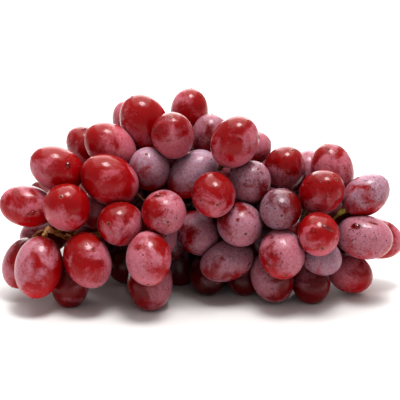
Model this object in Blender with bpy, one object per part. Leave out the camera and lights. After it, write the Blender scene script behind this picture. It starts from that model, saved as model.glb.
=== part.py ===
"""A bunch of red table grapes lying on its side, as picked.

Two grown pieces: the berries, which press on each other and so hold together as one body, and the
green-brown stem that they hang from. Lengths are in metres and +Z is up. The bunch rests on z = 0
with the middle of its outline over the origin, its length along X and its best side towards -Y.
"""

import math
import random

import bmesh
import bpy
import numpy as np
from mathutils import Matrix, Vector

MM = 0.001

# What the photograph was taken from, so that a berry can be placed where it is seen. One pixel is
# 0.45 mm at the bunch, from berries of 20 mm that are 44 pixels across.
PIXEL = 0.45 * MM
VIEW_DISTANCE = 950 * MM
VIEW_ELEVATION = math.radians(20)
PHOTO_MIDDLE = 200
MIDDLE_HEIGHT = 46 * MM

# The berries that the photograph shows, read from it by eye. Each row is the pixel of the berry's
# middle, how far back it lies (mm, along the view), its width and length (mm), the way its free end
# points in the picture (degrees, 0 right and 90 up) and how far it leans to the viewer (degrees).
SEEN_BERRIES = (
    (144, 120, 16, 21.5, 27.0, 115, 20),
    (189.5, 109, 27, 17.8, 22.0, 85, 20),
    (172.5, 134, -5, 19.3, 23.5, 95, 45),
    (211, 136, 14, 17.5, 21.0, 85, 20),
    (235, 142, -8, 21.3, 25.5, 60, 30),
    (249, 148, 16, 17.0, 21.0, 20, 0),
    (110, 145, 6, 20.0, 26.0, 145, 15),
    (131, 121, 36, 17.5, 22.0, 120, 0),
    (87.5, 147, 22, 17.0, 22.0, 140, 0),
    (57, 168, -2, 20.0, 25.5, 155, 10),
    (110, 180, -8, 22.0, 28.0, 150, 20),
    (150, 169.5, 2, 18.6, 23.0, 100, 55),
    (192, 175, 8, 19.3, 26.0, 42, 10),
    (212, 194, -22, 19.8, 23.0, -70, 65),
    (249, 184, -1, 19.3, 23.0, 60, 50),
    (284.5, 169, 12, 19.3, 23.0, 70, 40),
    (308, 173, 30, 17.0, 21.0, 90, 0),
    (334, 169, 10, 19.5, 25.5, 105, 15),
    (322, 191, -9, 19.5, 23.5, 45, 45),
    (368, 195, 0, 18.0, 23.5, 35, 5),
    (366, 238, -3, 20.3, 26.0, -12, 15),
    (375, 236, 20, 18.5, 25.0, -15, 0),
    (321, 236, -22, 18.5, 22.0, -80, 55),
    (280.5, 209, -14, 19.0, 22.0, -90, 75),
    (282.5, 256, -15, 20.3, 24.0, -80, 40),
    (238.5, 225, -14, 20.3, 23.0, -60, 65),
    (197, 233, 7, 18.5, 22.0, -60, 30),
    (164.5, 212, -14, 19.8, 22.5, -65, 65),
    (120.5, 223, -15, 20.3, 24.0, 180, 65),
    (64, 206.5, -14, 21.2, 24.0, 110, 65),
    (27, 207, 0, 19.0, 25.5, 170, 5),
    (42, 236, 24, 17.0, 22.0, 180, 0),
    (23, 263, 10, 18.5, 24.5, -115, 0),
    (38, 268, -10, 21.6, 29.0, -100, 10),
    (87.5, 262.5, -12, 20.7, 27.0, -65, 20),
    (69.5, 282.5, 4, 17.8, 24.5, -90, 0),
    (148.5, 259, -18, 20.3, 25.0, -90, 25),
    (150, 283, 0, 20.7, 25.5, -90, 0),
    (178, 264, 28, 17.0, 23.0, -80, 0),
    (126, 262, 32, 17.5, 21.0, -90, 0),
    (98, 212, 8, 17.5, 21.0, 180, 10),
    (226, 259, -2, 18.8, 26.0, -160, 15),
    (209, 276, 15, 17.1, 20.0, -90, 20),
    (245, 275, 16, 16.5, 20.0, -90, 20),
    (272, 274, 4, 19.5, 24.5, -70, 0),
    (310, 283, 8, 18.0, 21.0, -80, 20),
    (321, 257, -6, 16.5, 20.0, -30, 10),
    (350, 273, 14, 18.0, 22.0, -25, 10),
    (170, 238, 23, 17.0, 21.0, -90, 0),
    (345, 213, 18, 17.0, 21.0, 0, 0),
    (262, 240, 8, 17.5, 21.0, -60, 0),
    (92, 238, 24, 17.0, 21.0, -90, 0),
    (301, 205, 32, 17.5, 21.5, 0, 0),
    (342, 246, 26, 17.0, 21.0, 0, 0),
    (108, 247, 42, 17.0, 21.0, -90, 0),
)

# The stem's main lines, in the same pixels and depths: the rachis from its cut end at the back to
# the tip that shows at the left, the shoulder that runs to the right, and the one up to the crown.
RACHIS = (
    (254, 176, 80),
    (238, 192, 52),
    (206, 206, 32),
    (162, 217, 18),
    (112, 228, 10),
    (68, 239, 0),
)
RIGHT_SHOULDER = ((238, 192, 52), (262, 198, 32), (296, 212, 20), (330, 222, 6))
CROWN_SHOULDER = ((206, 206, 32), (202, 184, 34), (190, 156, 32))
BARE_PEDICEL = ((68, 239, 0), (57, 234, -3), (46, 228, -5))

# The berries that the photograph hides: a close stack of rows behind the seen ones, within the
# egg-shaped outline that a bunch has.
HIDDEN_WIDTH = (17.5 * MM, 19.5 * MM)
HIDDEN_LENGTH = (21 * MM, 24 * MM)
STACK_STEP = 18.6 * MM
STACK_CORNER = (-88 * MM, -8 * MM, 9 * MM)
STACK_COUNT = (10, 7, 7)
ROW_SQUEEZE = 0.87
LAYER_SQUEEZE = 0.82
STACK_JITTER = 1.2 * MM
DIRECTION_JITTER = 0.35
BUNCH_CORE = (-4 * MM, 30 * MM, 36 * MM)
BUNCH_REACH = (82 * MM, 42 * MM, 37 * MM)
SEEN_SPACING = 15 * MM
STEM_SPACING = 8.5 * MM
RANDOM_SEED = 7

# Berries are then tried in what room the stack leaves, so that no hollow shows between them.
FILL_TRIES = 5000
FILL_SPACING = 18 * MM
FILL_WIDTH = (16.5 * MM, 18.5 * MM)
FILL_LENGTH = (20 * MM, 23 * MM)

# Where the photograph looks straight through the bunch, which no hidden berry may cover. A place
# between seen berries that isn't one of these is dark, so a hidden berry may show there, well back.
OPEN_GAPS = ((60, 247), (352, 217))
OPEN_MARGIN = 2
ENCLOSED_WITHIN = (4, 8, 12, 16, 20)
SHOWING_DEPTH = 24 * MM

# How the berries settle against each other. The gains are the share of a fault that each step mends.
PRESS = 1.4 * MM
HOLDING_PRESS = 1.0 * MM
CLOSING_REACH = 3.5 * MM
SETTLE_ROUNDS = 3
SETTLE_STEPS = 180
SINK = 0.5 * MM
RESTING_REACH = 2 * MM
PUSH_GAIN = 0.32
CLOSE_GAIN = 0.08
BOND_GAIN = 0.35
STEM_GAIN = 0.6
TABLE_GAIN = 0.3
SIDEWAYS_FREEDOM = 0.45
HOMING_GAIN = 0.16
BOND_EVERY = 40
LAST_BOND = 150
FARTHEST_STEP = 1.5 * MM
STEM_ROOM = 0.5 * MM

# How much larger a ball with few sides is than the round berry.
FACET_GROWTH = 1.03

# The balls' sides round and their bands, for a berry that shows and for a hidden or far one.
SEEN_FACETS = (9, 6)
HIDDEN_FACETS = (7, 5)
FAR_DEPTH = 29 * MM

# The stem's thickness, and the clear room that it keeps.
PEDUNCLE_RADIUS = 2.9 * MM
RACHIS_RADIUS = 1.8 * MM
RACHIS_TIP_RADIUS = 1.3 * MM
SHOULDER_RADIUS = 1.6 * MM
LEAST_RADIUS = 0.6 * MM
PEDICEL_RADIUS = 0.7 * MM
RECEPTACLE_RADIUS = 1.5 * MM
BARE_END_RADIUS = 1.7 * MM
GAP = 0.3 * MM
LEAST_CLEARANCE = 0.5 * MM
LEAST_REACH = 2.5 * MM
SLIMMING_STEP = 0.3 * MM

# How a line is bent clear of the berries, and how a pedicel finds its way to one.
CLEARING_STEPS = 60
CLEARING_GAIN = 0.6
SMOOTHING_GAIN = 0.06
SPARE_CLEARANCE = 0.1 * MM
END_REACH = 2.2 * MM
LEAD_SHARE = 0.45
LONGEST_LEAD = 8 * MM
LAST_SHARE = 0.2
LONGEST_LAST = 2.4 * MM
STARTS_TRIED = 45
STARTS_STEP = 3

STEM_SPACING_ALONG = 4.5 * MM
BARE_SPACING_ALONG = 4 * MM
THICK_UNTIL = 0.3
DEPTH_FREEDOM = 0.9

# The table that the bunch is cut level with, as a slab under it.
SLAB_SIZE = 0.4
SHARP_ANGLE = math.radians(50)
SKIN_COLOUR = (0.36, 0.012, 0.03, 1)
SKIN_ROUGHNESS = 0.3
STEM_COLOUR = (0.21, 0.16, 0.04, 1)
STEM_ROUGHNESS = 0.7


def view_axes():
    """The picture's right, its up, and the way the view looks."""
    right = np.array((1.0, 0.0, 0.0))
    up = np.array((0.0, math.sin(VIEW_ELEVATION), math.cos(VIEW_ELEVATION)))
    away = np.array((0.0, math.cos(VIEW_ELEVATION), -math.sin(VIEW_ELEVATION)))
    return right, up, away


def seen_point(column, row, depth):
    """The point behind a pixel, depth metres past the plane through the bunch's middle."""
    right, up, away = view_axes()
    spread = PIXEL * (VIEW_DISTANCE + depth) / VIEW_DISTANCE
    across = (column - PHOTO_MIDDLE) * spread
    rise = (PHOTO_MIDDLE - row) * spread
    return np.array((0.0, 0.0, MIDDLE_HEIGHT)) + away * depth + right * across + up * rise


def seen_pixel(point):
    """The pixel that a point shows at."""
    right, up, away = view_axes()
    offset = point - np.array((0.0, 0.0, MIDDLE_HEIGHT))
    spread = PIXEL * (VIEW_DISTANCE + offset @ away) / VIEW_DISTANCE
    return PHOTO_MIDDLE + offset @ right / spread, PHOTO_MIDDLE - offset @ up / spread


def line_points(route, spacing):
    """A smooth line through a route's pixels, as points about spacing apart."""
    knots = [seen_point(column, row, depth * MM) for column, row, depth in route]
    knots = [2 * knots[0] - knots[1]] + knots + [2 * knots[-1] - knots[-2]]
    points = []
    for before, start, end, after in zip(knots, knots[1:], knots[2:], knots[3:]):
        count = max(2, round(np.linalg.norm(end - start) / spacing))
        for step in range(count):
            t = step / count
            points.append(
                0.5 * (2 * start + (end - before) * t
                       + (2 * before - 5 * start + 4 * end - after) * t ** 2
                       + (3 * start - before - 3 * end + after) * t ** 3)
            )
    points.append(knots[-2])
    return np.array(points)


def turned_to(direction):
    """A rotation that takes +Z to a direction."""
    return np.array(Vector(direction).to_track_quat("Z", "Y").to_matrix())


class Berries:
    """Every berry's middle, half widths and rotation, with its length along its own +Z."""

    def __init__(self):
        self.middle = []
        self.half = []
        self.turn = []
        self.seen = []

    def add(self, middle, width, length, direction, seen):
        self.middle.append(middle)
        self.half.append(np.array((width / 2, width / 2, length / 2)))
        self.turn.append(turned_to(direction))
        self.seen.append(seen)

    def finish(self):
        self.middle = np.array(self.middle)
        self.anchor = self.middle.copy()
        self.half = np.array(self.half)
        self.turn = np.array(self.turn)
        self.seen = np.array(self.seen)
        self.form = np.einsum("nij,nj,nkj->nik", self.turn, self.half ** 2, self.turn)
        self.inverse = np.linalg.inv(self.form)

    def clearance(self, points):
        """How far points lie outside each berry, and the way out of it."""
        offset = points[:, None] - self.middle[None]
        slope = np.einsum("nij,mnj->mni", self.inverse, offset)
        level = np.sqrt(np.einsum("mni,mni->mn", slope, offset))
        steepness = np.linalg.norm(slope, axis=2) / level
        return (level - 1) / steepness, slope / (steepness * level)[:, :, None]


def place_seen(berries):
    right, up, away = view_axes()
    for column, row, depth, width, length, angle, lean in SEEN_BERRIES:
        angle = math.radians(angle)
        lean = math.radians(lean)
        flat = right * math.cos(angle) + up * math.sin(angle)
        direction = flat * math.cos(lean) - away * math.sin(lean)
        berries.add(seen_point(column, row, depth * MM), width * MM, length * MM, direction, True)


def ring_pixels(column, row, reach, count):
    """Pixels spaced round a circle of the photograph."""
    turns = [math.tau * step / count for step in range(count)]
    return [(column + reach * math.cos(turn), row + reach * math.sin(turn)) for turn in turns]


def on_seen_berry(pixel):
    for berry in SEEN_BERRIES:
        if math.dist(pixel, berry[:2]) < (berry[3] + berry[4]) / 4 * MM / PIXEL:
            return True
    return False


def is_enclosed(pixel):
    """Whether seen berries cover a pixel or stand close by on every side of it."""
    if on_seen_berry(pixel):
        return True
    spokes = zip(*(ring_pixels(*pixel, reach, 8) for reach in ENCLOSED_WITHIN))
    return all(any(on_seen_berry(place) for place in spoke) for spoke in spokes)


def is_covered(point, radius):
    """Whether seen berries cover a ball, or it lies back in the dark of a gap that isn't open."""
    column, row = seen_pixel(point)
    reach = radius / PIXEL
    for gap in OPEN_GAPS:
        if math.dist(gap, (column, row)) < reach + OPEN_MARGIN:
            return False
    depth = (point - np.array((0.0, 0.0, MIDDLE_HEIGHT))) @ view_axes()[2]
    test = is_enclosed if depth > SHOWING_DEPTH else on_seen_berry
    return all(test(pixel) for pixel in ring_pixels(column, row, reach, 16))


def place_hidden(berries, lines):
    """A close stack behind the seen berries, each with its free end turned away from the stem."""
    draw = random.Random(RANDOM_SEED)
    seen_middles = np.array(berries.middle)
    columns, rows, layers = STACK_COUNT
    for layer in range(layers):
        for row in range(rows):
            for column in range(columns):
                across = column + 0.5 * ((layer + row) % 2)
                back = (row + 0.4 * (layer % 2)) * ROW_SQUEEZE
                place = np.array(STACK_CORNER)
                place += STACK_STEP * np.array((across, back, layer * LAYER_SQUEEZE))
                place += np.array([draw.uniform(-STACK_JITTER, STACK_JITTER) for _ in range(3)])
                width = draw.uniform(*HIDDEN_WIDTH)
                length = draw.uniform(*HIDDEN_LENGTH)
                wander = np.array([draw.uniform(-DIRECTION_JITTER, DIRECTION_JITTER) for _ in range(3)])
                if np.linalg.norm(seen_middles - place, axis=1).min() < SEEN_SPACING:
                    continue
                add_hidden(berries, lines, place, width, length, wander)


def add_hidden(berries, lines, place, width, length, wander):
    """Adds a hidden berry, if it is inside the bunch, out of sight and off the stem."""
    inside = (place - np.array(BUNCH_CORE)) / np.array(BUNCH_REACH)
    if inside @ inside > 1 or not is_covered(place, width / 2):
        return
    nearest = lines[np.linalg.norm(lines - place, axis=1).argmin()]
    outward = place - nearest
    distance = np.linalg.norm(outward)
    if distance >= STEM_SPACING:
        berries.add(place, width, length, outward / distance + wander, False)


def fill_rest(berries, lines):
    """Tries berries at drawn places, and adds each one that has room among the others."""
    draw = random.Random(RANDOM_SEED)
    core = np.array(BUNCH_CORE)
    for _ in range(FILL_TRIES):
        place = core + np.array([draw.uniform(-1, 1) * reach for reach in BUNCH_REACH])
        width = draw.uniform(*FILL_WIDTH)
        length = draw.uniform(*FILL_LENGTH)
        wander = np.array([draw.uniform(-DIRECTION_JITTER, DIRECTION_JITTER) for _ in range(3)])
        place[2] = max(place[2], width / 2)
        if np.linalg.norm(np.array(berries.middle) - place, axis=1).min() >= FILL_SPACING:
            add_hidden(berries, lines, place, width, length, wander)


def bond_groups(depth, bonds):
    """Bonds each group of touching berries to the nearest berry outside it."""
    touching = depth > HOLDING_PRESS
    group = np.arange(len(depth))
    for _ in range(len(depth)):
        lowest = np.where(touching, group[None], group[:, None]).min(1)
        group = np.minimum(group, lowest)
    for number in set(group.tolist()):
        across = (group == number)[:, None] & (group != number)[None]
        if not across.any():
            continue
        inner, outer = np.unravel_index(np.where(across, depth, -1).argmax(), depth.shape)
        bonds[inner, outer] = True
        bonds[outer, inner] = True


def settle(berries, lines, line_radii):
    """Presses the berries lightly together, clear of the stem's main lines and on the table."""
    _, _, away = view_axes()
    count = len(berries.middle)
    bonds = np.zeros((count, count), bool)
    pair_form = np.linalg.inv(berries.form[:, None] + berries.form[None])
    stand = np.sqrt(berries.form[:, 2, 2])
    for step in range(SETTLE_STEPS):
        offset = berries.middle[:, None] - berries.middle[None]
        slope = np.einsum("nmij,nmj->nmi", pair_form, offset)
        level = 0.5 * np.einsum("nmi,nmi->nm", slope, offset)
        level[np.arange(count), np.arange(count)] = 100
        depth = np.linalg.norm(offset, axis=2) * (1 / np.sqrt(level) - 1)
        way = slope / (np.linalg.norm(slope, axis=2) + 1e-9)[:, :, None]
        push = np.where(depth > PRESS, PUSH_GAIN * (depth - PRESS), 0)
        near = (depth <= PRESS) & (depth > -CLOSING_REACH)
        push = np.where(near, CLOSE_GAIN * (depth - PRESS), push)
        if step % BOND_EVERY == BOND_EVERY - 1 and step < LAST_BOND:
            bond_groups(depth, bonds)
        push = np.where(bonds & (depth < PRESS), BOND_GAIN * (depth - PRESS), push)
        move = (push[:, :, None] * way).sum(1)
        reach, out = berries.clearance(lines)
        short = np.clip(line_radii[:, None] + LEAST_CLEARANCE + STEM_ROOM - reach, 0, None)
        away_from_stem = (short[:, :, None] * out).max(0) + (short[:, :, None] * out).min(0)
        move -= STEM_GAIN * away_from_stem
        sunk = stand - SINK - berries.middle[:, 2]
        move[:, 2] += np.where(sunk > -RESTING_REACH, TABLE_GAIN * sunk, 0)
        along = (move @ away)[:, None] * away
        held = along + SIDEWAYS_FREEDOM * (move - along)
        stray = berries.anchor - berries.middle
        held += HOMING_GAIN * (stray - DEPTH_FREEDOM * (stray @ away)[:, None] * away)
        move = np.where(berries.seen[:, None], held, move)
        berries.middle = berries.middle + np.clip(move, -FARTHEST_STEP, FARTHEST_STEP)


def push_clear(points, berries, radii, skip_end_of=None):
    """Bends a line clear of the berries with its ends held, and gives its least clearance."""
    points = points.copy()
    for _ in range(CLEARING_STEPS):
        reach, out = berries.clearance(points)
        if skip_end_of is not None:
            reach[-2:, skip_end_of] = 1
        short = np.clip(radii[:, None] + LEAST_CLEARANCE + SPARE_CLEARANCE - reach, 0, None)
        shift = CLEARING_GAIN * ((short[:, :, None] * out).max(1) + (short[:, :, None] * out).min(1))
        smooth = np.zeros_like(points)
        smooth[1:-1] = SMOOTHING_GAIN * (points[:-2] + points[2:] - 2 * points[1:-1])
        shift[0] = 0
        shift[-1] = 0
        if skip_end_of is not None:
            shift[-2] = 0
            smooth[-2] = 0
        points += shift + smooth
    dense = np.linspace(0, len(points) - 1, 8 * len(points))
    index = np.arange(len(points))
    line = np.stack([np.interp(dense, index, points[:, axis]) for axis in range(3)], axis=1)
    wide = np.interp(dense, index, radii)
    reach, _ = berries.clearance(line)
    if skip_end_of is not None:
        from_end = np.linalg.norm(line - line[-1], axis=1)
        reach[from_end < END_REACH, skip_end_of] = 1
    return points, (reach - wide[:, None]).min()


def pedicel_line(start, end, back, count=7):
    """A bent line that leaves a branch and comes up to a berry's stem end from behind it."""
    span = np.linalg.norm(end - start)
    lead = end + back * min(LEAD_SHARE * span, LONGEST_LEAD)
    t = np.linspace(0, 1, count)[:, None]
    line = (1 - t) ** 2 * start + 2 * t * (1 - t) * lead + t ** 2 * end
    line[-2] = end + back * min(LAST_SHARE * span, LONGEST_LAST)
    return line


def grow_pedicels(berries, tree):
    """A pedicel for each berry that one can reach in the gaps, off the nearest branch."""
    tree = [point for point in tree]
    back = -berries.turn[:, :, 2]
    ends = berries.middle + back * (berries.half[:, 2:] * FACET_GROWTH + GAP)
    waiting = list(range(len(berries.middle)))
    lines = {}
    radii = np.array((1.0, 0.95, 0.9, 0.9, 0.95, 1.15, 0)) * PEDICEL_RADIUS
    radii[-1] = RECEPTACLE_RADIUS
    while waiting:
        grown = np.array(tree)
        nearest = [np.linalg.norm(grown - ends[index], axis=1).min() for index in waiting]
        index = waiting.pop(int(np.argmin(nearest)))
        order = np.linalg.norm(grown - ends[index], axis=1).argsort()
        best = None
        for start in grown[order[:STARTS_TRIED:STARTS_STEP]]:
            if (start - ends[index]) @ back[index] < LEAST_REACH:
                continue
            line = pedicel_line(start, ends[index], back[index])
            line, clear = push_clear(line, berries, radii, index)
            length = np.linalg.norm(np.diff(line, axis=0), axis=1).sum()
            if clear >= LEAST_CLEARANCE and (best is None or length < best[0]):
                best = (length, line)
        if best:
            lines[index] = best[1]
            tree.extend(best[1][1:5])
    return lines, radii


def add_tube(name, points, radii, sides):
    """A closed tube along points, its ends capped flat."""
    mesh = bmesh.new()
    rings = []
    normal = None
    for index, point in enumerate(points):
        before = points[max(index - 1, 0)]
        after = points[min(index + 1, len(points) - 1)]
        along = Vector(after - before).normalized()
        if normal is None:
            normal = along.orthogonal().normalized()
        normal = (normal - along * normal.dot(along)).normalized()
        side = along.cross(normal)
        ring = []
        for corner in range(sides):
            turn = math.tau * corner / sides
            reach = normal * math.cos(turn) + side * math.sin(turn)
            ring.append(mesh.verts.new(Vector(point) + reach * float(radii[index])))
        rings.append(ring)
    for lower, upper in zip(rings, rings[1:]):
        for corner in range(sides):
            beside = (corner + 1) % sides
            mesh.faces.new((lower[corner], lower[beside], upper[beside], upper[corner]))
    mesh.faces.new(rings[0][::-1])
    mesh.faces.new(rings[-1])
    return finish_object(name, mesh)


def add_berry(name, berries, index):
    """One berry as a ball with few sides, stretched and turned, a little large to make up for them."""
    mesh = bmesh.new()
    depth = (berries.middle[index] - np.array((0.0, 0.0, MIDDLE_HEIGHT))) @ view_axes()[2]
    shows = berries.seen[index] and depth < FAR_DEPTH
    segments, bands = SEEN_FACETS if shows else HIDDEN_FACETS
    bmesh.ops.create_uvsphere(mesh, u_segments=segments, v_segments=bands, radius=1)
    for vertex in mesh.verts:
        local = berries.half[index] * np.array(vertex.co) * FACET_GROWTH
        vertex.co = Vector(berries.turn[index] @ local + berries.middle[index])
    return finish_object(name, mesh)


def finish_object(name, mesh):
    bmesh.ops.recalc_face_normals(mesh, faces=mesh.faces)
    data = bpy.data.meshes.new(name)
    mesh.to_mesh(data)
    mesh.free()
    thing = bpy.data.objects.new(name, data)
    bpy.context.scene.collection.objects.link(thing)
    return thing


def apply_boolean(thing, operation, operand):
    """Joins or cuts a thing, and keeps the result as its own mesh."""
    modifier = thing.modifiers.new("Boolean", "BOOLEAN")
    modifier.operation = operation
    modifier.solver = "EXACT"
    modifier.use_self = True
    if isinstance(operand, bpy.types.Collection):
        modifier.operand_type = "COLLECTION"
        modifier.collection = operand
    else:
        modifier.object = operand
    depsgraph = bpy.context.evaluated_depsgraph_get()
    joined = bpy.data.meshes.new_from_object(thing.evaluated_get(depsgraph))
    thing.modifiers.clear()
    thing.data = joined


def fuse(name, things):
    """Joins things that overlap into one object."""
    first = things[0]
    group = bpy.data.collections.new(name + "_parts")
    bpy.context.scene.collection.children.link(group)
    for thing in things[1:]:
        group.objects.link(thing)
    apply_boolean(first, "UNION", group)
    for thing in things[1:]:
        bpy.data.objects.remove(thing)
    bpy.data.collections.remove(group)
    first.name = name
    first.data.name = name
    return first


def keep_body(thing):
    """Keeps the one outer body, so that a sealed hollow is filled and a loose scrap is dropped."""
    mesh = bmesh.new()
    mesh.from_mesh(thing.data)
    left = set(mesh.verts)
    bodies = []
    while left:
        start = left.pop()
        body = {start}
        edge_of = [start]
        while edge_of:
            for edge in edge_of.pop().link_edges:
                for vertex in edge.verts:
                    if vertex in left:
                        left.remove(vertex)
                        body.add(vertex)
                        edge_of.append(vertex)
        bodies.append(body)
    bodies.sort(key=len)
    for body in bodies[:-1]:
        bmesh.ops.delete(mesh, geom=list(body), context="VERTS")
    mesh.to_mesh(thing.data)
    mesh.free()


def cut_flat(thing):
    """Cuts a thing level with the table, which leaves the small flat spots that it rests on."""
    mesh = bmesh.new()
    bmesh.ops.create_cube(mesh, size=SLAB_SIZE, matrix=Matrix.Translation((0, 0, -SLAB_SIZE / 2)))
    slab = finish_object("table_cut", mesh)
    apply_boolean(thing, "DIFFERENCE", slab)
    bpy.data.objects.remove(slab)


def finish(thing, colour, roughness):
    material = bpy.data.materials.new(thing.name)
    material.use_nodes = True
    shader = material.node_tree.nodes["Principled BSDF"]
    shader.inputs["Base Color"].default_value = colour
    shader.inputs["Roughness"].default_value = roughness
    shader.inputs["Metallic"].default_value = 0
    thing.data.materials.clear()
    thing.data.materials.append(material)
    thing.data.shade_smooth()
    thing.data.set_sharp_from_angle(angle=SHARP_ANGLE)


def slimmed(points, radii, berries):
    """A line's radii, less where berries press in on it from both sides."""
    room = berries.clearance(points)[0].min(1) - LEAST_CLEARANCE
    beside = np.minimum(np.append(room[1:], room[-1]), np.append(room[0], room[:-1]))
    return np.clip(np.minimum(room, beside + SLIMMING_STEP), LEAST_RADIUS, radii)


def bunch_layout():
    """The settled berries and the stem's lines, in the frame of the photograph."""
    rachis = line_points(RACHIS, STEM_SPACING_ALONG)
    right = line_points(RIGHT_SHOULDER, STEM_SPACING_ALONG)
    crown = line_points(CROWN_SHOULDER, STEM_SPACING_ALONG)
    bare = line_points(BARE_PEDICEL, BARE_SPACING_ALONG)
    thickness = (PEDUNCLE_RADIUS, RACHIS_RADIUS, RACHIS_TIP_RADIUS)
    main = [
        (rachis, np.interp(np.linspace(0, 1, len(rachis)), (0, THICK_UNTIL, 1), thickness)),
        (right, np.linspace(SHOULDER_RADIUS, RACHIS_TIP_RADIUS, len(right))),
        (crown, np.linspace(SHOULDER_RADIUS, RACHIS_TIP_RADIUS, len(crown))),
        (bare, np.linspace(RACHIS_TIP_RADIUS, BARE_END_RADIUS, len(bare))),
    ]
    berries = Berries()
    place_seen(berries)
    place_hidden(berries, np.concatenate([points for points, _ in main]))
    fill_rest(berries, np.concatenate([points for points, _ in main]))
    berries.finish()
    for _ in range(SETTLE_ROUNDS):
        lines = np.concatenate([points for points, _ in main])
        settle(berries, lines, np.concatenate([radii for _, radii in main]))
        main = [(push_clear(points, berries, radii)[0], radii) for points, radii in main]
    return berries, [(points, slimmed(points, radii, berries)) for points, radii in main]


def main():
    for thing in list(bpy.data.objects):
        bpy.data.objects.remove(thing)
    berries, cleared = bunch_layout()
    tree = np.concatenate([points[2:] for points, _ in cleared[:3]])
    pedicels, pedicel_radii = grow_pedicels(berries, tree)

    balls = [add_berry(f"berry_{index}", berries, index) for index in range(len(berries.middle))]
    skin = fuse("berries", balls)
    keep_body(skin)
    tubes = [add_tube(f"line_{index}", points, radii, 6) for index, (points, radii) in enumerate(cleared)]
    tubes += [add_tube(f"pedicel_{index}", line, pedicel_radii, 4) for index, line in pedicels.items()]
    stem = fuse("stem", tubes)
    keep_body(stem)
    cut_flat(skin)

    corners = np.array([vertex.co for thing in (skin, stem) for vertex in thing.data.vertices])
    middle = (corners.min(0) + corners.max(0)) / 2
    shift = Matrix.Translation((-middle[0], -middle[1], 0))
    for thing in (skin, stem):
        thing.data.transform(shift)
    finish(skin, SKIN_COLOUR, SKIN_ROUGHNESS)
    finish(stem, STEM_COLOUR, STEM_ROUGHNESS)


main()
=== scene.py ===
import math
import random

import bpy
import numpy as np
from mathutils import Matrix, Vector, noise


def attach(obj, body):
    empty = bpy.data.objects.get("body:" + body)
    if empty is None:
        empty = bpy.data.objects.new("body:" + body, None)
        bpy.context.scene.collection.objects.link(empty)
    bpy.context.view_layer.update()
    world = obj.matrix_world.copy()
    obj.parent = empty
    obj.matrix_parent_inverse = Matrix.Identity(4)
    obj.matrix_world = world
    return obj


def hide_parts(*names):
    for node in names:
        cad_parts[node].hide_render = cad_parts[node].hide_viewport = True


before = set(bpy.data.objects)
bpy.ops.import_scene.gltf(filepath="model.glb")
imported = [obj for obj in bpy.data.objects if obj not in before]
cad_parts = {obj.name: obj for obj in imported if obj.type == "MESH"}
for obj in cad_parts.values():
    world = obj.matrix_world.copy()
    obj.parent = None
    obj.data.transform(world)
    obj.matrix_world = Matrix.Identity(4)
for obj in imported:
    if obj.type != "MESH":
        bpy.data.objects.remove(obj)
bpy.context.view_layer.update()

mm = 0.001

# Where the photograph was taken from. One pixel is 0.45 mm at the bunch.
photoView = {
    "pixel": 0.45 * mm,
    "distance": 950 * mm,
    "elevation": math.radians(20),
    "middle": 200,                      # pixel at the picture's centre
    "target": (0, 0, 46 * mm),          # what that pixel looks at, before the bunch is centred
    "centring": (-1.440 * mm, -21.703 * mm, 0),   # from the photograph's frame to the CAD's
    "sensor": 36,                       # mm
}

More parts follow.
